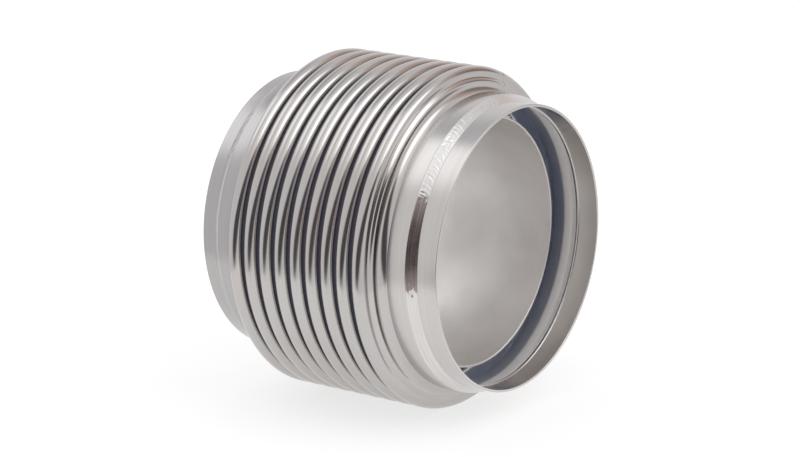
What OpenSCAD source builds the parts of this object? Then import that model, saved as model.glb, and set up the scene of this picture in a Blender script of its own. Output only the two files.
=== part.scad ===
// Metal bellows expansion joint: a two-ply U-convolution bellows between two pipe collars,
// with a flow liner fixed at the inlet and free at the outlet.
// +X runs along the pipe axis towards the outlet, +Z is up, and the origin is on the axis
// half-way between the two collar rims.

/* [Pipe connection] */
// Outside diameter of the pipe that slips into each collar
pipe_od = 127; // [110:1:140]
// Radial clearance between the pipe and the collar
pipe_clearance = 0.4; // [0.2:0.1:0.8]
// Wall of the collars
collar_wall = 1.2; // [0.8:0.1:1.6]

/* [Overall] */
// Length from rim to rim
overall_length = 129.4; // [129.4:0.1:150]
// How far the bellows sits from the middle, towards the outlet
bellows_offset = -3; // [-4:0.5:0]

/* [Bellows] */
// Outside diameter over the crests
bellows_od = 157; // [152:1:170]
// Number of convolutions
convolutions = 9; // [9:1:9]
// Distance from crest to crest
pitch = 8.55; // [8:0.05:8.55]
// Thickness of one ply
ply_thickness = 0.4; // [0.3:0.05:0.5]
// Gap between the two plies
ply_gap = 0.04; // [0.02:0.02:0.08]
// Gap left between two segments of one ply
segment_gap = 0.3; // [0.2:0.1:0.5]
// Width of the groove between two crests
groove_width = 1.9; // [1.8:0.1:2.4]
// Lean of the end flanks away from square to the axis
flank_lean = 17; // [14:1:20]
// Outside radius of the fillet between an end flank and its neck
neck_fillet = 4.2; // [3.6:0.2:4.6]

/* [Collars and seams] */
// Depth of the pipe socket in the outlet collar
outlet_socket = 10; // [9:0.5:11]
// Depth of the pipe socket in the inlet collar
inlet_socket = 6.5; // [6:0.5:7]
// How much the radius of a collar steps down from the neck to the socket
step_height = 2.8; // [2:0.1:3.2]
// Length of the step along the axis
step_length = 4.5; // [4:0.1:5]
// Distance from the neck fillet to the collar's front edge
neck_gap = 0.2; // [0.1:0.1:0.5]
// Width of the seam weld on the slope of the step
seam_width = 4.8; // [3:0.1:4.8]
// Depth of the seam weld in the collar
seam_depth = 0.3; // [0.2:0.1:0.5]
// How far the seam weld stands above the collar
seam_height = 0.1; // [0:0.05:0.2]
// Width of the edge weld that closes the end of each neck
edge_weld_width = 1.4; // [1.4:0.1:2]
// How far the edge weld stands in from the wall of the socket
edge_weld_height = 0.6; // [0.5:0.1:1]

/* [Flow liner] */
// Outside diameter of the liner sleeve
liner_od = 115; // [100:1:116]
// Wall of the liner
liner_wall = 1; // [0.8:0.1:1.5]
// Distance from the liner's free end to the outlet rim
liner_recess = 20.8; // [18:0.1:24]
// Length of the liner's flared end
liner_flare = 9; // [6:1:10]
// Length of the liner's cone between its flared end and its sleeve
liner_cone = 9; // [6:1:12]
// Width of the lap seam along the liner, in degrees
lap_angle = 14; // [8:1:20]
// Where the lap seam lies, in degrees from the top
lap_position = 16; // [0:1:40]
// How far the lap seam stops short of each end of the sleeve
lap_inset = 0.5; // [0.2:0.1:2]

/* [Hidden] */
$fn = 180;
END = overall_length / 2;
COLLAR_R = pipe_od / 2 + pipe_clearance;
COLLAR_OUT = COLLAR_R + collar_wall;
// Outside radius of the necks
NECK_R = COLLAR_R + step_height;
// Room between a collar and the neck inside it, and between the neck and the liner
SLIP = 0.05;

// Middle surface of the two-ply wall, which every ply is offset from
HALF_WALL = ply_thickness + ply_gap / 2;
ROOT_BEND = groove_width / 2 + HALF_WALL;
CREST_BEND = pitch / 2 - ROOT_BEND;
CREST_MID = bellows_od / 2 - HALF_WALL;
NECK_MID = NECK_R - HALF_WALL;
CREST_CENTRE = CREST_MID - CREST_BEND;
ROOT_CENTRE = NECK_MID + ROOT_BEND;
CUT_R = (CREST_CENTRE + ROOT_CENTRE) / 2;

// Fillet between an end flank and its neck
FILLET_MID = neck_fillet + HALF_WALL;
FILLET_R = NECK_MID + FILLET_MID;
FLANK = (CREST_CENTRE - FILLET_R + (CREST_BEND + FILLET_MID) * sin(flank_lean)) / cos(flank_lean);
FILLET_X = (CREST_BEND + FILLET_MID) * cos(flank_lean) + FLANK * sin(flank_lean);

OUTER = [ply_gap / 2, HALF_WALL];
INNER = [-HALF_WALL, -ply_gap / 2];

// Stations along the axis
function crest_x(k) = bellows_offset + (k - (convolutions + 1) / 2) * pitch;
function root_x(k) = crest_x(k) + pitch / 2;
function end_crest_x(side) = crest_x(side > 0 ? convolutions : 1);
function socket(side) = side > 0 ? outlet_socket : inlet_socket;
function bottom(side) = END - socket(side) - side * end_crest_x(side);

// The step of a collar. Distances run along the axis from the bottom of the socket towards the bellows,
// and o is the distance outwards from the surface that the outside of the neck follows.
SLOPE = atan(step_height / step_length);
STEP_TOP = (step_height + SLIP) / tan(SLOPE) + SLIP * tan(SLOPE / 2);
function step_corner(o) = [NECK_R + o, STEP_TOP - o * tan(SLOPE / 2)];
function step_foot(o) = [COLLAR_R + o, STEP_TOP - step_length - o * tan(SLOPE / 2)];
function step_radius(o, d) = step_foot(o)[0] + (d - step_foot(o)[1]) * tan(SLOPE);
function on_step(along, o) = [
    NECK_R - along * sin(SLOPE) + o * cos(SLOPE),
    STEP_TOP - along * cos(SLOPE) - o * sin(SLOPE)
];

// Liner stations
LINER_OUT = liner_od / 2;
LINER_FLARE = step_radius(-2 * HALF_WALL, edge_weld_width) - SLIP;
LINER_START = -END + inlet_socket + edge_weld_width;
LINER_FLARE_END = LINER_START + liner_flare;
LINER_END = END - liner_recess;

// Turns a profile drawn as [radius, x] about the pipe axis.
module turned() {
    rotate([0, 90, 0]) rotate_extrude() children();
}

// Points [radius, x] round an arc. The angle is 0 along +x and 90 straight outwards.
function arc(centre_r, centre_x, radius, from, to, steps) = [
    for (i = [0:steps])
        let (a = from + (to - from) * i / steps)
        [centre_r + radius * sin(a), centre_x + radius * cos(a)]
];

function reversed(list) = [for (i = [len(list) - 1:-1:0]) list[i]];
function flipped(list) = [for (p = list) [p[0], -p[1]]];

// Half a crest at offset o, from the top to the cut, towards +x.
function crest_side(o) = concat(
    arc(CREST_CENTRE, 0, CREST_BEND + o, 90, 0, 8),
    [[CUT_R + segment_gap / 2, CREST_BEND + o]]
);

// The side of an end crest that faces a collar at offset o, from the top to the cut, towards +x.
function flank_point(o, r) = let (
    r0 = CREST_CENTRE + (CREST_BEND + o) * sin(flank_lean),
    x0 = (CREST_BEND + o) * cos(flank_lean)
) [r, x0 + (r0 - r) * tan(flank_lean)];
function end_side(o) = concat(
    arc(CREST_CENTRE, 0, CREST_BEND + o, 90, flank_lean, 8),
    [flank_point(o, CUT_R + segment_gap / 2)]
);

// The neck at offset o, from the cut, past the fillet and down the step to the edge weld, towards +x.
// bottom is how far the bottom of the socket lies from the crest's middle.
function neck_side(o, bottom) = concat(
    [flank_point(o, CUT_R - segment_gap / 2)],
    arc(FILLET_R, FILLET_X, FILLET_MID - o, 180 + flank_lean, 270, 8),
    [for (p = [step_corner(o - HALF_WALL),
               [step_radius(o - HALF_WALL, edge_weld_width), edge_weld_width]]) [p[0], bottom - p[1]]]
);

// The root at offset o, from cut to cut.
function root_side(o) = concat(
    [[CUT_R - segment_gap / 2, -(ROOT_BEND - o)]],
    arc(ROOT_CENTRE, 0, ROOT_BEND - o, 180, 360, 16),
    [[CUT_R - segment_gap / 2, ROOT_BEND - o]]
);

// The modules below take w, the offsets of a ply's inside and outside from the middle surface.
// One ply of a crest. side is -1 where it faces the inlet collar, 1 where it faces the outlet collar, or 0.
module crest_segment(k, w, side = 0) {
    function plus(o) = side > 0 ? end_side(o) : crest_side(o);
    function minus(o) = flipped(side < 0 ? end_side(o) : crest_side(o));
    function line(o) = concat(reversed(minus(o)), plus(o));
    translate([crest_x(k), 0, 0]) turned() polygon(concat(line(w[1]), reversed(line(w[0]))));
}

// One ply of a root.
module root_segment(k, w) {
    translate([root_x(k), 0, 0]) turned() polygon(concat(root_side(w[1]), reversed(root_side(w[0]))));
}

// One ply of a neck. side is -1 at the inlet and 1 at the outlet.
module neck_segment(side, w) {
    function line(o) = neck_side(o, bottom(side));
    outline = concat(line(w[1]), reversed(line(w[0])));
    translate([end_crest_x(side), 0, 0]) turned() polygon(side > 0 ? outline : flipped(outline));
}

// Turns a profile drawn as [radius, distance from the bottom of the socket towards the bellows].
module at_step(side, profile) {
    line = [for (p = profile) [p[0], side * (END - socket(side) - p[1])]];
    turned() polygon(line);
}

// The slope of the step between two offsets, as wide as the seam weld.
module seam_track(side, from, to) {
    start = (step_height / sin(SLOPE) - seam_width) / 2 - collar_wall * tan(SLOPE / 2);
    at_step(side, [
        on_step(start, from), on_step(start, to),
        on_step(start + seam_width, to), on_step(start + seam_width, from)
    ]);
}

// A collar: a sleeve round the neck, a step, and a sleeve that the pipe slips into, with a shallow track for
// the seam weld round the step. side is -1 at the inlet and 1 at the outlet.
module collar(side) {
    front = bottom(side) - FILLET_X - neck_gap;
    color("silver") difference() {
        at_step(side, [
            [NECK_R + SLIP, front], [NECK_R + collar_wall, front],
            step_corner(collar_wall), step_foot(collar_wall),
            [COLLAR_OUT, -socket(side)], [COLLAR_R, -socket(side)], [COLLAR_R, 0],
            step_corner(SLIP)
        ]);
        seam_track(side, collar_wall - seam_depth, collar_wall + 1);
    }
}

// The track that the seam-welding wheel leaves round the step of a collar.
module seam_weld(side) {
    color("gainsboro") seam_track(side, collar_wall - seam_depth, collar_wall + seam_height);
}

// The bead over the ends of the plies, inside the step, from inside outwards.
module edge_weld(side, inside, foot) {
    color("darkgray") at_step(side, [
        [inside, edge_weld_width], [step_radius(SLIP, edge_weld_width), edge_weld_width],
        [COLLAR_R, 0], [foot, 0]
    ]);
}

// The inlet bead covers the end of the liner as well.
module inlet_edge_weld() {
    edge_weld(-1, LINER_FLARE - liner_wall, LINER_FLARE - liner_wall);
}

module outlet_edge_weld() {
    edge_weld(1, step_radius(-2 * HALF_WALL, edge_weld_width), COLLAR_R - edge_weld_height);
}

// The liner: a flared end inside the inlet neck, a cone, a sleeve and the lap where the sheet closes.
module flow_liner() {
    cone_end = LINER_FLARE_END + liner_cone;
    color("darkgray") {
        turned() polygon([
            [LINER_FLARE, LINER_START], [LINER_FLARE, LINER_FLARE_END], [LINER_OUT, cone_end],
            [LINER_OUT, LINER_END], [LINER_OUT - liner_wall, LINER_END], [LINER_OUT - liner_wall, cone_end],
            [LINER_FLARE - liner_wall, LINER_FLARE_END], [LINER_FLARE - liner_wall, LINER_START]
        ]);
        rotate([-lap_position, 0, 0]) rotate([0, 90, 0]) translate([0, 0, cone_end + lap_inset])
        rotate([0, 0, 180 - lap_angle / 2]) rotate_extrude(angle = lap_angle)
        translate([LINER_OUT - liner_wall / 2, 0])
        square([liner_wall * 1.3, LINER_END - cone_end - 2 * lap_inset]);
    }
}

collar(-1);  // inlet_collar
seam_weld(-1);  // inlet_seam_weld
inlet_edge_weld();
collar(1);  // outlet_collar
seam_weld(1);  // outlet_seam_weld
outlet_edge_weld();
flow_liner();
color("lightgray") neck_segment(-1, OUTER);  // outer_ply_inlet_neck
color("gray") neck_segment(-1, INNER);  // inner_ply_inlet_neck
color("lightgray") neck_segment(1, OUTER);  // outer_ply_outlet_neck
color("gray") neck_segment(1, INNER);  // inner_ply_outlet_neck
for (k = [1:convolutions]) {
    side = k == 1 ? -1 : k == convolutions ? 1 : 0;
    color("lightgray") crest_segment(k, OUTER, side);
    color("gray") crest_segment(k, INNER, side);
}
for (k = [1:convolutions - 1]) {
    color("lightgray") root_segment(k, OUTER);
    color("gray") root_segment(k, INNER);
}
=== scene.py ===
import math

import bpy
import numpy as np
from mathutils import Matrix, Vector


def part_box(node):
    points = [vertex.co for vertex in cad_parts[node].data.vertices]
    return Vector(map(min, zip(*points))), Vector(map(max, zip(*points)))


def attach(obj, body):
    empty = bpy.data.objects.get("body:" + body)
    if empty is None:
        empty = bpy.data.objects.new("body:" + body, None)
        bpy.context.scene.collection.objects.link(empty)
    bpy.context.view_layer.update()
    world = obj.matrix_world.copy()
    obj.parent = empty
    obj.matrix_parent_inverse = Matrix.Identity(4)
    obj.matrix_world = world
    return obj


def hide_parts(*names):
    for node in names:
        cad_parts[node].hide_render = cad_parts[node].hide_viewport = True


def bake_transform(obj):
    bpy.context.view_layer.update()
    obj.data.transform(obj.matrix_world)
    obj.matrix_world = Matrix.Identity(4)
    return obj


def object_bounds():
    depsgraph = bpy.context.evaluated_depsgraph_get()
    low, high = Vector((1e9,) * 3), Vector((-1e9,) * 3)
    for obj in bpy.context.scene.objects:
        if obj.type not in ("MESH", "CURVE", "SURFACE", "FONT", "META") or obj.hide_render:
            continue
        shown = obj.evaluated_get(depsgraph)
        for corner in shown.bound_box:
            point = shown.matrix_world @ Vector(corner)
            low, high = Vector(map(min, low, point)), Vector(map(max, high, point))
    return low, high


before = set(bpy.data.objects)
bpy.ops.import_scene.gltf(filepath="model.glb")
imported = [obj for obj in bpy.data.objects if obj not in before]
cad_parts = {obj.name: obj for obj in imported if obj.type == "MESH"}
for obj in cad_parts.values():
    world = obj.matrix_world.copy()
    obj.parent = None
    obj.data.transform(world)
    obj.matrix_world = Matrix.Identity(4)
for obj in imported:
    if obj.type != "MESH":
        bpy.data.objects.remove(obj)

# Sizes are in metres in the part's own frame: +X runs along the pipe axis to the outlet, +Z is up.


def middle_x(node):
    low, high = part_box(node)
    return (low.x + high.x) / 2


# ---- Sizes taken from the frame ----
cad_low, cad_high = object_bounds()
INLET_RIM, OUTLET_RIM = cad_low.x, cad_high.x
CREST_TOP = cad_high.z
CONVOLUTIONS = 9
PITCH = middle_x("outer_ply_crest_6") - middle_x("outer_ply_crest_5")
SLEEVE_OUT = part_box("outlet_collar")[1].z
OUTLET_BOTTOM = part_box("outlet_edge_weld")[1].x
INLET_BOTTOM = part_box("inlet_edge_weld")[0].x
OUTLET_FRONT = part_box("outlet_collar")[0].x
INLET_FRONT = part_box("inlet_collar")[1].x
BEAD_WIDTH = OUTLET_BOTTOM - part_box("outlet_edge_weld")[0].x
FLARE_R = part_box("flow_liner")[1].z
LINER_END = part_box("flow_liner")[1].x

# ---- Sizes of the walls, as the part has them ----
PLY = 0.4e-3
PLY_GAP = 0.04e-3
HALF_WALL = PLY + PLY_GAP / 2
WALLS = {"outer": (PLY_GAP / 2, HALF_WALL), "inner": (-HALF_WALL, -PLY_GAP / 2)}
COLLAR_WALL = 1.2e-3
SLIP = 0.05e-3
STEP_HEIGHT = 2.8e-3
STEP_LENGTH = 4.5e-3
SLOPE = math.atan(STEP_HEIGHT / STEP_LENGTH)
# Where the step starts, measured from the bottom of the socket towards the rim
STEP_TOP = -(STEP_HEIGHT + SLIP) / math.tan(SLOPE) - SLIP * math.tan(SLOPE / 2)
NECK_R = SLEEVE_OUT - COLLAR_WALL
SOCKET_R = NECK_R - STEP_HEIGHT
SEAM_WIDTH = 4.8e-3
SEAM_START = (math.hypot(STEP_HEIGHT, STEP_LENGTH) - SEAM_WIDTH) / 2
SEAM_START -= COLLAR_WALL * math.tan(SLOPE / 2)
SEAM_DEPTH = 0.3e-3
RIPPLES = 320
RIPPLE_HEIGHT = 0.004e-3
ROOT_BEND = 0.95e-3 + HALF_WALL
CREST_BEND = PITCH / 2 - ROOT_BEND
FILLET_BEND = 4.2e-3 + HALF_WALL
LEAN = math.radians(17)
FLANK_WAVE = 0.3
CREST_CENTRE = CREST_TOP - HALF_WALL - CREST_BEND
ROOT_CENTRE = NECK_R - HALF_WALL + ROOT_BEND
FILLET_R = NECK_R - HALF_WALL + FILLET_BEND
FLANK = (CREST_CENTRE - FILLET_R + (CREST_BEND + FILLET_BEND) * math.sin(LEAN)) / math.cos(LEAN)
FILLET_X = (CREST_BEND + FILLET_BEND) * math.cos(LEAN) + FLANK * math.sin(LEAN)
EDGE_ROUND = 0.3e-3
STEP_ROUND = 0.2e-3
BEAD_ROUND = 0.4e-3
BEAD_REACH = 0.6e-3
LINER_R = 57.5e-3
LINER_WALL = 1e-3
LINER_FLARE = 9e-3
LINER_CONE = 9e-3
LAP_ANGLE = math.radians(14)
LAP_AT = math.radians(16)
LAP_INSET = 0.5e-3
LAP_RAMP = 1e-6
LAP_LIFT = 0.8 * LINER_WALL
# The bellows tube's own long weld: its place from the top towards +Y, its height and its half width.
# It stops short of the crests' tops, to stay inside the CAD box.
TUBE_SEAM_AT = math.radians(24)
TUBE_SEAM_HEIGHT = 0.15e-3
TUBE_SEAM_WIDTH = 0.25e-3
TUBE_SEAM_STOP = 0.3e-3
# The part of a weld track with a painted brown reflection, the end of its scalloped part, and the crater
# where the weld stops
REFLECTION_FROM, REFLECTION_TO = math.radians(-96), math.radians(-60)
SCALLOPS_TO = math.radians(-2)
SCALLOPS = 170
SCALLOP_HEIGHT = 0.05e-3
SWELLS = 53
CRATER_AT = math.radians(-34)
CRATER_R = 1.3e-3
CRATER_DEPTH = 0.12e-3
CRATER_WIDTH = 0.25e-3
# How the weld wanders round the track: height, waves in a turn, and skew across the track
WAVER = [(1.4, 37, 0), (1.1, 91, 2)]

# ---- How finely the meshes are made ----
SHARP = math.radians(30)
RING_ANGLES = 256
PLY_ANGLES = {"outer": 360, "inner": 96}
# The steps of a bend on the ply's outer and inner side
PLY_STEPS = {"outer": (14, 5), "inner": (6, 4)}
FLANK_STEPS = 16
SEAM_STEPS = 20
RIPPLE_ANGLES = 6
SHORT_STEP = 0.6
TUBE_SEAM_ANGLE = 0.009
LAP_EDGE_ANGLE = 0.0002
LAP_CLEAR_ANGLE = 0.004

# ---- Camera and floor ----
CAMERA_AZIMUTH, CAMERA_ELEVATION = math.radians(36.11), math.radians(14.4)
CAMERA_BACK, CAMERA_LEFT, CAMERA_DOWN = 1.3758, 1.81e-3, 0.31e-3
CAMERA_X = 0.57e-3
LENS, SENSOR = 135, 36
FLOOR_HALF = 9
FLOOR_GAP = 0.2e-3
TABLE_R = 0.23
TABLE_LIFT = 0.02e-3


# ---- Colours and light ----
FLOOR_COLOUR = 0.35, 0.35, 0.35, 1
FLOOR_GLOW = 0.7
BACK_TONE = 0.86, 0.85, 0.86, 1
FRONT_TONE = 1.2, 1.2, 1.22, 1
KEY_TONE = 2.2, 2.2, 2.2, 1
FILL_TONE = 1.5, 1.5, 1.52, 1
CEILING = 0.60, 0.61, 0.64, 1
DARK_ROOM = 0.10, 0.088, 0.10, 1
BROWN_WALL = 0.66, 0.53, 0.47, 1
DARK_DOOR = 0.34, 0.29, 0.27, 1
# Each part of the studio: azimuth from -Y towards +X, elevation, half width, half height, slant, colour
PANELS = [
    (60, 90, 80, 60, 0, FRONT_TONE),
    (-85, 52, 50, 24, 0, FILL_TONE),
    (96, 46, 42, 22, 0, KEY_TONE),
    (-124, 62, 38, 22, 0, CEILING),
    (31, 4, 45, 33, 1.25, DARK_ROOM),
    (160, 27, 32, 20, 0, BROWN_WALL),
    (157, 20, 17, 13, 0, DARK_DOOR),
]
# Where an oval starts and where it is full, as shares of its half sizes
OVAL_EDGE, OVAL_CORE = 1.07, 0.63
STEEL = 0.54, 0.525, 0.515, 1
STEEL_WARM = 0.53, 0.495, 0.47, 1
STEEL_DULL = 0.45, 0.44, 0.435, 1
# Painted light: a faint glow in the grooves, in place of light bounced down into them
PAINTED_GROOVE_LIGHT = 0.020, 0.021, 0.030, 1
MILL = 0.82, 0.80, 0.79, 1
MILL_DULL = 0.70, 0.69, 0.68, 1
# Painted light glowing from the inner ply: blue behind the liner, grey at the mouth
PAINTED_GAP_LIGHT = 0.005, 0.009, 0.020, 1
PAINTED_MOUTH_LIGHT = 0.19, 0.18, 0.172, 1
COLLAR = 0.61, 0.59, 0.57, 1
COLLAR_DULL = 0.52, 0.50, 0.485, 1
COLLAR_INSIDE = 0.66, 0.64, 0.625, 1
# Painted shade: the far collar's steel is a darker copy of the near collar's
SHADED_FAR_COLLAR = 0.47, 0.457, 0.455, 1
SHADED_FAR_COLLAR_DULL = 0.39, 0.38, 0.38, 1
WELD = 0.73, 0.71, 0.70, 1
WELD_DARK = 0.50, 0.475, 0.465, 1
# Painted reflection: brown tones on the weld track in place of the dark brown room it mirrors
PAINTED_REFLECTION = 0.46, 0.39, 0.37, 1
PAINTED_REFLECTION_DARK = 0.26, 0.21, 0.20, 1
SATIN = 0.80, 0.78, 0.76, 1
SATIN_DULL = 0.69, 0.67, 0.655, 1

# ---- Lines and waves in the metal: per metre across them and along them, and their depth ----
POLISH_LINES, POLISH_DEPTH = (1400, 18), 0.0012e-3
BRUSH_LINES, BRUSH_DEPTH = (2600, 12), 0.004e-3
WELD_LINES, WELD_DEPTH = (2600, 45), 0.005e-3
ROLL_LINES, ROLL_DEPTH = (1800, 10), 0.003e-3
WAVE_DEPTH = 0.04e-3
# Where one look fades into another
GROOVE_FADE = 1e-3
END_FADE = 0.5e-3
MOUTH_FADE = 9.8e-3, 8.5e-3
INSIDE_FADE = 0.2e-3, 0.8e-3
REFLECTION_RAGGED, REFLECTION_START_FADE, REFLECTION_END_FADE = 0.05, 0.01, 0.03


def crest_x(k):
    return middle_x("outer_ply_crest_5") + (k - 5) * PITCH


# ---- Outlines, as lists of (x, r) points ----
def arc(x, r, radius, start, end, steps):
    """Points round an arc. 0 degrees is along +x and 90 straight outwards."""
    angles = [math.radians(start + (end - start) * i / steps) for i in range(steps + 1)]
    return [(x + radius * math.cos(a), r + radius * math.sin(a)) for a in angles]


def from_top(x, r, radius, end, steps):
    """An arc down from its top, with a short first step so that two strips that meet there shade as one."""
    return [(x, r + radius)] + arc(x, r, radius, 90 - SHORT_STEP, end, steps)


def crest_to_root(offset, steps):
    """From the top of a crest down to the bottom of the groove on its +x side."""
    crest = from_top(0, CREST_CENTRE, CREST_BEND + offset, 0, steps)
    root = arc(PITCH / 2, ROOT_CENTRE, ROOT_BEND - offset, 180, 270 - SHORT_STEP, steps)
    return crest + root + [(PITCH / 2, ROOT_CENTRE - ROOT_BEND + offset)]


def crest_to_neck(offset, steps, bottom):
    """From the top of an end crest down its leaning flank, and along the neck and step to the edge weld."""
    lean = math.degrees(LEAN)
    crest = from_top(0, CREST_CENTRE, CREST_BEND + offset, lean, steps)
    fillet = arc(FILLET_X, FILLET_R, FILLET_BEND - offset, 180 + lean, 270, steps)
    return crest + flank(offset) + fillet + placed(neck_end(offset - HALF_WALL), bottom)


def flank(offset):
    """Between the crest and the fillet an end flank is a shallow S, as forming leaves it."""
    outwards = Vector((math.cos(LEAN), math.sin(LEAN)))
    along = Vector((math.sin(LEAN), -math.cos(LEAN)))
    start = outwards * (CREST_BEND + offset) + Vector((0, CREST_CENTRE))
    points = []
    for s in np.linspace(0, 1, FLANK_STEPS + 1)[1:-1]:
        wave = math.sin(4 * math.pi * s) / (4 * math.pi) - math.sin(2 * math.pi * s) / (2 * math.pi)
        points.append(tuple(start + (along * s + outwards * FLANK_WAVE * wave) * FLANK))
    return points


# Points round the step of a collar are at a distance towards the rim from the bottom of the socket,
# and at an offset outwards from the surface that the outside of the neck follows.
def step_corner(offset):
    return STEP_TOP + offset * math.tan(SLOPE / 2), NECK_R + offset


def step_foot(offset):
    return STEP_TOP + STEP_LENGTH + offset * math.tan(SLOPE / 2), SOCKET_R + offset


def on_slope(along, offset):
    x = STEP_TOP + along * math.cos(SLOPE) + offset * math.sin(SLOPE)
    return x, NECK_R - along * math.sin(SLOPE) + offset * math.cos(SLOPE)


def slope_r(offset, x):
    foot_x, foot_r = step_foot(offset)
    return foot_r + (foot_x - x) * math.tan(SLOPE)


def neck_end(offset):
    return [step_corner(offset), (-BEAD_WIDTH, slope_r(offset, -BEAD_WIDTH))]


def placed(outline, x, side=1):
    """The outline moved to x, and turned to face -x where side is -1."""
    return [(x + side * a, r) for a, r in outline]


def signed_area(outline):
    x, r = np.array(outline).T
    return (x @ np.roll(r, -1) - r @ np.roll(x, -1)) / 2


def rounded(corner, before, after, radius, steps=4):
    """Points round a corner between two neighbours, in place of the sharp corner."""
    c, b, a = (np.array(p, float) for p in (corner, before, after))
    start = c + (b - c) / np.linalg.norm(b - c) * radius
    end = c + (a - c) / np.linalg.norm(a - c) * radius
    ts = np.linspace(0, 1, steps + 1)
    return [tuple((1 - t) ** 2 * start + 2 * t * (1 - t) * c + t * t * end) for t in ts]


# ---- Meshes ----
def ring_angles(count, fine_at=None, fine_width=0.0):
    """Angles round the axis from the top towards +Y, closer together about one place."""
    angles = list(np.linspace(0, 2 * math.pi, count, endpoint=False))
    if fine_at is not None:
        angles += [fine_at + fine_width * s for s in (-1, -0.7, -0.4, -0.15, 0.15, 0.4, 0.7, 1)]
    return np.array(sorted(a % (2 * math.pi) for a in angles))


def turned(name, outline, angles, shape=None):
    """A closed ring: an outline turned about the pipe axis. shape(x, r, angle) may move its points.
    Each point keeps its place at rest, for the textures."""
    across, around = len(outline), len(angles)
    x, r = (np.tile(row, (around, 1)) for row in np.array(outline, float).T)
    angle = np.tile(angles[:, None], (1, across))
    if shape is not None:
        x, r = shape(x, r, angle)
    points = np.stack([x, r * np.sin(angle), r * np.cos(angle)], -1).reshape(-1, 3)
    i, j = np.meshgrid(np.arange(around), np.arange(across), indexing="ij")
    i_next, j_next = (i + 1) % around, (j + 1) % across
    corners = [i * across + j, i * across + j_next, i_next * across + j_next, i_next * across + j]
    faces = np.stack(corners, -1).reshape(-1, 4)
    if signed_area(outline) > 0:
        faces = faces[:, ::-1]
    mesh = bpy.data.meshes.new(name)
    mesh.from_pydata(points.tolist(), [], faces.tolist())
    rest = mesh.attributes.new("rest_place", "FLOAT_VECTOR", "POINT")
    rest.data.foreach_set("vector", points.astype(np.float32).ravel())
    mesh.shade_smooth()
    mesh.set_sharp_from_angle(angle=SHARP)
    piece = bpy.data.objects.new(name, mesh)
    bpy.context.scene.collection.objects.link(piece)
    return piece


# ---- Camera ----
def make_camera():
    """A long lens in front of the outlet and to its left, a little above the pipe axis."""
    azimuth, elevation = CAMERA_AZIMUTH, CAMERA_ELEVATION
    back = Vector((math.sin(azimuth) * math.cos(elevation), -math.cos(azimuth) * math.cos(elevation),
                   math.sin(elevation)))
    right = Vector((math.cos(azimuth), math.sin(azimuth), 0))
    up = back.cross(right)
    data = bpy.data.cameras.new("camera")
    data.sensor_width = SENSOR
    data.lens = LENS
    camera = bpy.data.objects.new("camera", data)
    camera.rotation_mode = "QUATERNION"
    camera.location = back * CAMERA_BACK - right * CAMERA_LEFT - up * CAMERA_DOWN + Vector((CAMERA_X, 0, 0))
    camera.rotation_quaternion = Matrix((right, up, back)).transposed().to_quaternion()
    bpy.context.scene.collection.objects.link(camera)
    bpy.context.scene.camera = camera


# ---- Stage and light ----
def floor_material():
    material = bpy.data.materials.new("floor")
    material.use_nodes = True
    shader = material.node_tree.nodes["Principled BSDF"]
    shader.inputs["Base Color"].default_value = FLOOR_COLOUR
    shader.inputs["Roughness"].default_value = 0.8
    shader.inputs["Specular IOR Level"].default_value = 0.1
    shader.inputs["Emission Color"].default_value = 1, 1, 1, 1
    shader.inputs["Emission Strength"].default_value = FLOOR_GLOW
    return material


def flat_sheet(name, corners, material):
    mesh = bpy.data.meshes.new(name)
    mesh.from_pydata(corners, [], [tuple(range(len(corners)))])
    mesh.materials.append(material)
    sheet = bpy.data.objects.new(name, mesh)
    bpy.context.scene.collection.objects.link(sheet)
    return sheet


def make_floor():
    """A small glowing table round the part, and a floor past it that the metal doesn't mirror."""
    half, z, edge = FLOOR_HALF, -CREST_TOP - FLOOR_GAP, TABLE_R
    material = floor_material()
    angles = np.linspace(0, 2 * math.pi, 64, endpoint=False)
    flat_sheet("table", [(edge * math.cos(a), edge * math.sin(a), z) for a in angles], material)
    below = z - TABLE_LIFT
    corners = [(-half, -half, below), (half, -half, below), (half, half, below), (-half, half, below)]
    flat_sheet("floor", corners, material).visible_glossy = False


def make_world():
    """A pale studio: soft ovals of light, a dark room and a brown wall, for the metal to mirror."""
    world = bpy.data.worlds.new("studio")
    world.use_nodes = True
    tree = world.node_tree
    where = tree.nodes.new("ShaderNodeTexCoord").outputs["Generated"]
    x, y, z = parts(tree, where)
    around = maths(tree, "ARCTAN2", x, maths(tree, "MULTIPLY", y, -1))
    height = maths(tree, "ARCSINE", z)
    colour = BACK_TONE
    for *oval, tone in PANELS:
        colour = blended(tree, patch(tree, around, height, *oval), colour, tone)
    tree.links.new(colour, tree.nodes["Background"].inputs["Color"])
    bpy.context.scene.world = world
    bpy.context.scene.view_settings.view_transform = "Standard"
    bpy.context.scene.cycles.glossy_bounces = 12


def patch(tree, around, height, azimuth, elevation, width, tall, slant):
    """1 in the middle of an oval of the sky, and 0 past its edge. Angles are in degrees from -Y."""
    turn = maths(tree, "SUBTRACT", around, math.radians(azimuth))
    rise = maths(tree, "SUBTRACT", height, math.radians(elevation))
    turn = maths(tree, "SUBTRACT", turn, maths(tree, "MULTIPLY", rise, slant))
    turn = maths(tree, "WRAP", turn, math.pi, -math.pi)
    across = maths(tree, "DIVIDE", turn, math.radians(width))
    upward = maths(tree, "DIVIDE", rise, math.radians(tall))
    squares = maths(tree, "ADD", maths(tree, "POWER", maths(tree, "ABSOLUTE", across), 2),
                    maths(tree, "POWER", maths(tree, "ABSOLUTE", upward), 2))
    fade = tree.nodes.new("ShaderNodeMapRange")
    fade.interpolation_type = "SMOOTHSTEP"
    tree.links.new(maths(tree, "SQRT", squares), fade.inputs["Value"])
    fade.inputs["From Min"].default_value = OVAL_EDGE
    fade.inputs["From Max"].default_value = OVAL_CORE
    return fade.outputs["Result"]


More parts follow.
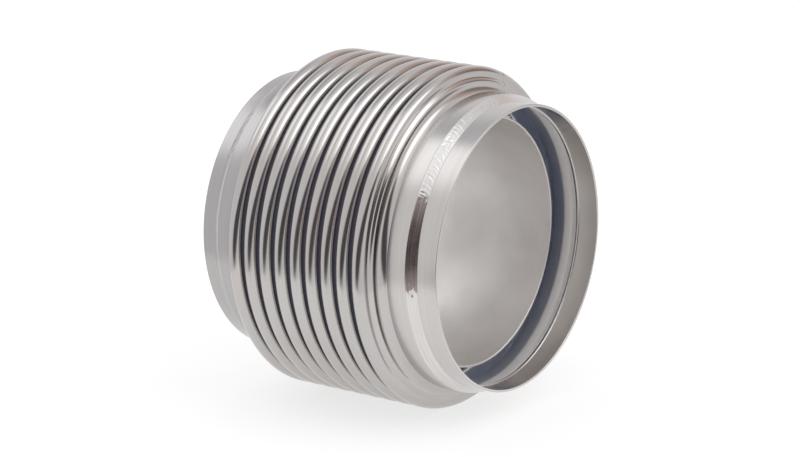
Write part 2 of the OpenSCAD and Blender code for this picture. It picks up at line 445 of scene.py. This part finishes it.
# ---- Nodes ----
def feed(tree, socket, value):
    """Puts a number, a colour or another node's output into a socket."""
    if isinstance(value, bpy.types.NodeSocket):
        tree.links.new(value, socket)
    else:
        socket.default_value = value


def maths(tree, operation, *values):
    node = tree.nodes.new("ShaderNodeMath")
    node.operation = operation
    for socket, value in zip(node.inputs, values):
        feed(tree, socket, value)
    return node.outputs[0]


def parts(tree, vector):
    node = tree.nodes.new("ShaderNodeSeparateXYZ")
    tree.links.new(vector, node.inputs[0])
    return node.outputs


def blended(tree, share, first, second):
    """A mix of two colours."""
    node = tree.nodes.new("ShaderNodeMix")
    node.data_type = "RGBA"
    feed(tree, node.inputs[0], share)
    feed(tree, node.inputs[6], first)
    feed(tree, node.inputs[7], second)
    return node.outputs[2]


def noise(tree, scale, detail, vector=None, w=None):
    node = tree.nodes.new("ShaderNodeTexNoise")
    node.inputs["Scale"].default_value = scale
    node.inputs["Detail"].default_value = detail
    if vector is None:
        vector = rest_place(tree)
    if w is not None:
        node.noise_dimensions = "4D"
        tree.links.new(w, node.inputs["W"])
    tree.links.new(vector, node.inputs["Vector"])
    return node.outputs["Fac"]


def spread(tree, value, low, high, start=0.3, end=0.7):
    """A value from start to end, spread over low to high."""
    node = tree.nodes.new("ShaderNodeMapRange")
    tree.links.new(value, node.inputs["Value"])
    node.inputs["From Min"].default_value = start
    node.inputs["From Max"].default_value = end
    node.inputs["To Min"].default_value = low
    node.inputs["To Max"].default_value = high
    return node.outputs["Result"]


def rest_place(tree):
    """Where a point of the piece is with the bellows at rest, so that marks stay put as it moves."""
    node = tree.nodes.new("ShaderNodeAttribute")
    node.attribute_name = "rest_place"
    return node.outputs["Vector"]


def place(tree):
    """x, y, z and the distance from the pipe axis, at rest."""
    x, y, z = parts(tree, rest_place(tree))
    squares = maths(tree, "ADD", maths(tree, "MULTIPLY", y, y), maths(tree, "MULTIPLY", z, z))
    return x, y, z, maths(tree, "SQRT", squares)


def rings(tree, fine, slow):
    """Noise drawn out round the pipe axis, as rolling and polishing leave it. fine and slow are per metre."""
    x, y, z, r = place(tree)
    vector = tree.nodes.new("ShaderNodeCombineXYZ")
    feed(tree, vector.inputs[0], maths(tree, "MULTIPLY", x, fine))
    feed(tree, vector.inputs[1], maths(tree, "MULTIPLY", r, fine))
    feed(tree, vector.inputs[2], maths(tree, "MULTIPLY", y, slow))
    return noise(tree, 1, 3, vector.outputs[0], maths(tree, "MULTIPLY", z, slow))


def bump(tree, height, distance, before=None):
    node = tree.nodes.new("ShaderNodeBump")
    node.inputs["Strength"].default_value = 1
    node.inputs["Distance"].default_value = distance
    tree.links.new(height, node.inputs["Height"])
    if before is not None:
        tree.links.new(before, node.inputs["Normal"])
    return node.outputs["Normal"]


# ---- Materials ----
def metal(name):
    """A bare metal material: its tree and its shader."""
    material = bpy.data.materials.new(name)
    material.use_nodes = True
    shader = material.node_tree.nodes["Principled BSDF"]
    shader.inputs["Metallic"].default_value = 1
    return material, material.node_tree, shader


def polished_steel():
    """The outer ply: bright sheet with faint smears, warm tints and a weak painted glow down in its grooves,
    which stands in for light bounced into them.
    """
    material, tree, shader = metal("polished_steel")
    smears = noise(tree, 45, 3)
    lines = rings(tree, *POLISH_LINES)
    tint_and_reflection = blended(tree, spread(tree, noise(tree, 22, 2), 0, 1), STEEL, STEEL_WARM)
    colour = blended(tree, spread(tree, lines, 0, 0.25), tint_and_reflection, STEEL_DULL)
    # Painted light: the grooves between the end crests glow faintly, in place of light bounced into them
    painted_groove_light_share = spread(tree, place(tree)[3], 1, 0, CREST_CENTRE - GROOVE_FADE, CREST_CENTRE + GROOVE_FADE)
    painted_groove_light_share = maths(tree, "MULTIPLY", painted_groove_light_share, between_crests(tree))
    feed(tree, shader.inputs["Base Color"], colour)
    shader.inputs["Emission Color"].default_value = PAINTED_GROOVE_LIGHT
    feed(tree, shader.inputs["Emission Strength"], painted_groove_light_share)
    rough = maths(tree, "ADD", spread(tree, smears, 0.10, 0.17), spread(tree, lines, 0, 0.05))
    feed(tree, shader.inputs["Roughness"], rough)
    waves = bump(tree, noise(tree, 90, 1), WAVE_DEPTH)
    feed(tree, shader.inputs["Normal"], bump(tree, lines, POLISH_DEPTH, waves))
    return material


def between_crests(tree):
    """1 between the end crests' middles, and 0 past them."""
    past = maths(tree, "ABSOLUTE", maths(tree, "SUBTRACT", place(tree)[0], crest_x(5)))
    return spread(tree, past, 1, 0, 4 * PITCH, 4 * PITCH + END_FADE)


def inner_steel():
    """The inner ply: mill finish, with a weak blue painted glow behind the liner and a grey painted glow at
    the mouth, painted light in place of the light that reaches them.
    """
    material, tree, shader = metal("inner_steel")
    cloud = noise(tree, 60, 3)
    feed(tree, shader.inputs["Base Color"], blended(tree, spread(tree, cloud, 0, 1), MILL, MILL_DULL))
    feed(tree, shader.inputs["Roughness"], spread(tree, cloud, 0.4, 0.5))
    # Painted light: a blue glow behind the liner, fading to a grey glow at the mouth
    mouth = spread(tree, place(tree)[0], 0, 1, *(OUTLET_BOTTOM - fade for fade in MOUTH_FADE))
    feed(tree, shader.inputs["Emission Color"], blended(tree, mouth, PAINTED_GAP_LIGHT, PAINTED_MOUTH_LIGHT))
    shader.inputs["Emission Strength"].default_value = 1
    return material


def collar_steel(name, bright, dull):
    """A collar: brushed round, softer than the bellows."""
    material, tree, shader = metal(name)
    lines = rings(tree, *BRUSH_LINES)
    cloud = noise(tree, 28, 3)
    colour = blended(tree, spread(tree, lines, 0, 0.5), bright, dull)
    inside = spread(tree, place(tree)[3], 1, 0, *(SOCKET_R + fade for fade in INSIDE_FADE))
    feed(tree, shader.inputs["Base Color"], blended(tree, inside, colour, COLLAR_INSIDE))
    rough = maths(tree, "ADD", spread(tree, cloud, 0.16, 0.24), spread(tree, lines, 0, 0.05))
    feed(tree, shader.inputs["Roughness"], rough)
    feed(tree, shader.inputs["Normal"], bump(tree, lines, BRUSH_DEPTH))
    return material


def weld_steel():
    """The seam welds' tracks: bright, with fine lengthwise streaks, and a painted brown reflection along one
    part.
    """
    material, tree, shader = metal("weld_steel")
    smears = noise(tree, 240, 3)
    lines = rings(tree, *WELD_LINES)
    reflected_share = painted_reflection_part(tree)
    bright = blended(tree, spread(tree, lines, 0, 0.5), WELD, WELD_DARK)
    # Painted reflection: the brown band stands in for the dark room mirrored in the track
    tint_and_reflection = blended(tree, spread(tree, lines, 0, 1, 0.4, 0.6), PAINTED_REFLECTION, PAINTED_REFLECTION_DARK)
    feed(tree, shader.inputs["Base Color"], blended(tree, reflected_share, bright, tint_and_reflection))
    rough = maths(tree, "ADD", spread(tree, smears, 0.12, 0.2), maths(tree, "MULTIPLY", reflected_share, 0.15))
    feed(tree, shader.inputs["Roughness"], rough)
    feed(tree, shader.inputs["Normal"], bump(tree, lines, WELD_DEPTH))
    return material


def painted_reflection_part(tree):
    """1 along the part of the outlet's weld track that carries a painted brown reflection, with ragged ends.
    """
    x, y, z, r = place(tree)
    angle = maths(tree, "ARCTAN2", y, z)
    angle = maths(tree, "ADD", angle, spread(tree, noise(tree, 420, 3), -REFLECTION_RAGGED, REFLECTION_RAGGED))
    after = spread(tree, angle, 0, 1, REFLECTION_FROM - REFLECTION_START_FADE, REFLECTION_FROM + REFLECTION_START_FADE)
    before = spread(tree, angle, 1, 0, REFLECTION_TO - REFLECTION_END_FADE, REFLECTION_TO + REFLECTION_END_FADE)
    return maths(tree, "MULTIPLY", maths(tree, "MULTIPLY", after, before), maths(tree, "GREATER_THAN", x, 0))


def satin_steel():
    """The liner: dull rolled sheet with soft handling marks."""
    material, tree, shader = metal("satin_steel")
    cloud = noise(tree, 35, 4)
    lines = rings(tree, *ROLL_LINES)
    feed(tree, shader.inputs["Base Color"], blended(tree, spread(tree, cloud, 0, 1), SATIN, SATIN_DULL))
    rough = maths(tree, "ADD", spread(tree, cloud, 0.4, 0.5), spread(tree, lines, 0, 0.05))
    feed(tree, shader.inputs["Roughness"], rough)
    feed(tree, shader.inputs["Normal"], bump(tree, lines, ROLL_DEPTH))
    return material


# ---- Bellows ----
def strip(name, ply, line, angles, material):
    """One length of a ply. line(offset, steps) is one side of its wall, in place."""
    (low, high), (fine, coarse) = WALLS[ply], PLY_STEPS[ply]
    outline = line(high, fine) + line(low, coarse)[::-1]
    piece = turned(name, outline, angles, tube_seam)
    piece.data.materials.append(material)
    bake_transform(piece)
    return piece


def tube_seam(x, r, angle):
    """The bellows tube's long weld stands up a little."""
    away = (angle - TUBE_SEAM_AT) * CREST_TOP
    raised = TUBE_SEAM_HEIGHT * np.exp(-(away / TUBE_SEAM_WIDTH) ** 2)
    return x, r + raised * (r < CREST_TOP - TUBE_SEAM_STOP)


def make_ply(ply, material):
    angles = ring_angles(PLY_ANGLES[ply], TUBE_SEAM_AT, TUBE_SEAM_ANGLE)
    first, last = crest_x(1), crest_x(CONVOLUTIONS)

    def inlet(offset, steps):
        return placed(crest_to_neck(offset, steps, first - INLET_BOTTOM), first, -1)

    def outlet(offset, steps):
        return placed(crest_to_neck(offset, steps, OUTLET_BOTTOM - last), last)

    piece = strip(ply + "_ply_inlet_neck", ply, inlet,
                  angles, material)
    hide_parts(ply + "_ply_inlet_neck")
    for k in range(1, CONVOLUTIONS):
        x = crest_x(k)
        piece = strip(f"{ply}_ply_crest_{k}_down", ply, lambda o, n: placed(crest_to_root(o, n), x),
                      angles, material)
        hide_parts(f"{ply}_ply_crest_{k}")
        x += PITCH
        piece = strip(f"{ply}_ply_root_{k}_up", ply, lambda o, n: placed(crest_to_root(o, n), x, -1),
                      angles, material)
        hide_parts(f"{ply}_ply_root_{k}")
    piece = strip(ply + "_ply_outlet_neck", ply, outlet,
                  angles, material)
    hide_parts(f"{ply}_ply_crest_{CONVOLUTIONS}", ply + "_ply_outlet_neck")


# ---- Collars ----
def seam_bed(offset):
    """Both ends of the weld track, from the bellows to the rim."""
    return [on_slope(SEAM_START, offset), on_slope(SEAM_START + SEAM_WIDTH, offset)]


def collar_outline(front, rim):
    """Front edge, sleeve, step with its weld track, rim, socket and the room for the neck."""
    wall, bed = COLLAR_WALL, COLLAR_WALL - SEAM_DEPTH
    front_in, front_out = (front, NECK_R + SLIP), (front, NECK_R + wall)
    rim_in, rim_out = (rim, SOCKET_R), (rim, SOCKET_R + wall)
    high, low = seam_bed(bed)
    high_edge, low_edge = seam_bed(wall)
    return (
        rounded(front_in, step_corner(SLIP), front_out, EDGE_ROUND)
        + rounded(front_out, front_in, step_corner(wall), EDGE_ROUND)
        + rounded(step_corner(wall), front_out, high_edge, STEP_ROUND)
        + [high_edge, high, low, low_edge]
        + rounded(step_foot(wall), low_edge, rim_out, STEP_ROUND)
        + rounded(rim_out, step_foot(wall), rim_in, EDGE_ROUND)
        + rounded(rim_in, rim_out, (0, SOCKET_R), EDGE_ROUND)
        + [(0, SOCKET_R), step_corner(SLIP)]
    )


def make_collar(end, side, front, bottom, rim, material):
    outline = placed(collar_outline(-abs(bottom - front), abs(rim - bottom)), bottom, side)
    piece = turned(end + "_collar_shell", outline, ring_angles(RING_ANGLES))
    piece.data.materials.append(material)
    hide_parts(end + "_collar")
    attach(piece, end + "_end")


def make_seam(end, side, bottom, material):
    """The seam-welding wheel's track."""
    high, low = seam_bed(COLLAR_WALL - SEAM_DEPTH)
    top = [on_slope(SEAM_START + SEAM_WIDTH * s, COLLAR_WALL) for s in np.linspace(0, 1, SEAM_STEPS + 1)]
    outline = placed([low, high] + top, bottom, side)
    piece = turned(end + "_seam_track", outline, ring_angles(RIPPLES * RIPPLE_ANGLES), ripples)
    piece.data.materials.append(material)
    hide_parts(end + "_seam_weld")
    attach(piece, end + "_end")


def ripples(x, r, angle):
    """Fine crescents, one for each pulse of the weld, with coarser uneven ones and a crater in one part."""
    row = np.linspace(-1, 1, SEAM_STEPS + 1)
    across = np.concatenate([[0, 0], row])
    inside = np.concatenate([[0, 0], 1 - row ** 4])
    turn = (angle + math.pi) % (2 * math.pi) - math.pi
    waver = sum(height * np.sin(turn * waves + skew * across) for height, waves, skew in WAVER)
    fine = RIPPLE_HEIGHT * np.cos(turn * RIPPLES + 4 * across ** 2 + waver)
    coarse = SCALLOP_HEIGHT * (1 + 0.6 * np.sin(turn * SWELLS + 3 * across))
    coarse = coarse * np.cos(turn * SCALLOPS + 3 * across ** 2 + 2 * across + waver)
    wave = np.where((turn > REFLECTION_TO) & (turn < SCALLOPS_TO), coarse, fine)
    away = np.hypot((turn - CRATER_AT) * SLEEVE_OUT, across * SEAM_WIDTH / 2)
    crater = CRATER_DEPTH * np.exp(-((away - CRATER_R) / CRATER_WIDTH) ** 2)
    return x, r + inside * (wave - crater)


def make_bead(end, side, bottom, inside, foot, material):
    """The bead over the ends of the plies, with a rounded face."""
    neck, socket = (-BEAD_WIDTH, slope_r(SLIP, -BEAD_WIDTH)), (0, SOCKET_R)
    start = (-BEAD_WIDTH, inside)
    outline = [start, neck, socket] + rounded((0, foot), socket, start, BEAD_ROUND)
    piece = turned(end + "_edge_bead", placed(outline, bottom, side), ring_angles(RING_ANGLES))
    piece.data.materials.append(material)
    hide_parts(end + "_edge_weld")
    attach(piece, end + "_end")


# ---- Flow liner ----
def make_liner(material):
    """A flared end, a cone and a sleeve with a soft rim, made as one ring with a lap along the sleeve."""
    start = INLET_BOTTOM + BEAD_WIDTH
    flare_end = start + LINER_FLARE
    cone_end = flare_end + LINER_CONE
    mouth = (LINER_END, LINER_R), (LINER_END, LINER_R - LINER_WALL)
    outline = [
        (start, FLARE_R), (flare_end, FLARE_R), (cone_end, LINER_R), (cone_end + LAP_INSET, LINER_R),
        (cone_end + LAP_INSET + LAP_RAMP, LINER_R), (LINER_END - LAP_INSET - LAP_RAMP, LINER_R),
        (LINER_END - LAP_INSET, LINER_R)
    ]
    outline += rounded(mouth[0], outline[-1], mouth[1], EDGE_ROUND)
    outline += rounded(mouth[1], mouth[0], (cone_end, LINER_R - LINER_WALL), EDGE_ROUND)
    outline += [(cone_end, LINER_R - LINER_WALL), (flare_end, FLARE_R - LINER_WALL)]
    outline += [(start, FLARE_R - LINER_WALL)]
    piece = turned("liner_sleeve", outline, lap_angles(), lap)
    piece.data.materials.append(material)
    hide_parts("flow_liner")
    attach(piece, "inlet_end")


def lap_angles():
    """Angles round the liner, with a close pair at each edge of the lap."""
    edges = [LAP_AT - LAP_ANGLE / 2, LAP_AT + LAP_ANGLE / 2]
    angles = [a for a in ring_angles(RING_ANGLES) if min(abs(a - e) for e in edges) > LAP_CLEAR_ANGLE]
    return np.array(sorted(angles + [e + side * LAP_EDGE_ANGLE for e in edges for side in (-1, 1)]))


def lap(x, r, angle):
    """Lifts the two points of the sleeve's outside, 4 and 5 in the outline, by most of a wall."""
    over = abs(angle - LAP_AT) < LAP_ANGLE / 2
    row = np.zeros(r.shape[1])
    row[4:6] = LAP_LIFT
    return x, r + over * row


make_camera()
make_floor()
make_world()
bright = polished_steel()
mill = inner_steel()
near_steel = collar_steel("collar_steel", COLLAR, COLLAR_DULL)
# Painted shade: the inlet collar gets a darker copy of the same collar steel
shaded_far_steel = collar_steel("shaded_far_collar_steel", SHADED_FAR_COLLAR, SHADED_FAR_COLLAR_DULL)
burnished = weld_steel()
satin = satin_steel()
make_ply("outer", bright)
make_ply("inner", mill)
make_collar("inlet", -1, INLET_FRONT, INLET_BOTTOM, INLET_RIM, shaded_far_steel)
make_collar("outlet", 1, OUTLET_FRONT, OUTLET_BOTTOM, OUTLET_RIM, near_steel)
make_seam("inlet", -1, INLET_BOTTOM, burnished)
make_seam("outlet", 1, OUTLET_BOTTOM, burnished)
make_bead("inlet", -1, INLET_BOTTOM, FLARE_R - LINER_WALL, FLARE_R - LINER_WALL, burnished)
make_bead("outlet", 1, OUTLET_BOTTOM, slope_r(-2 * HALF_WALL, -BEAD_WIDTH), SOCKET_R - BEAD_REACH, burnished)
make_liner(satin)
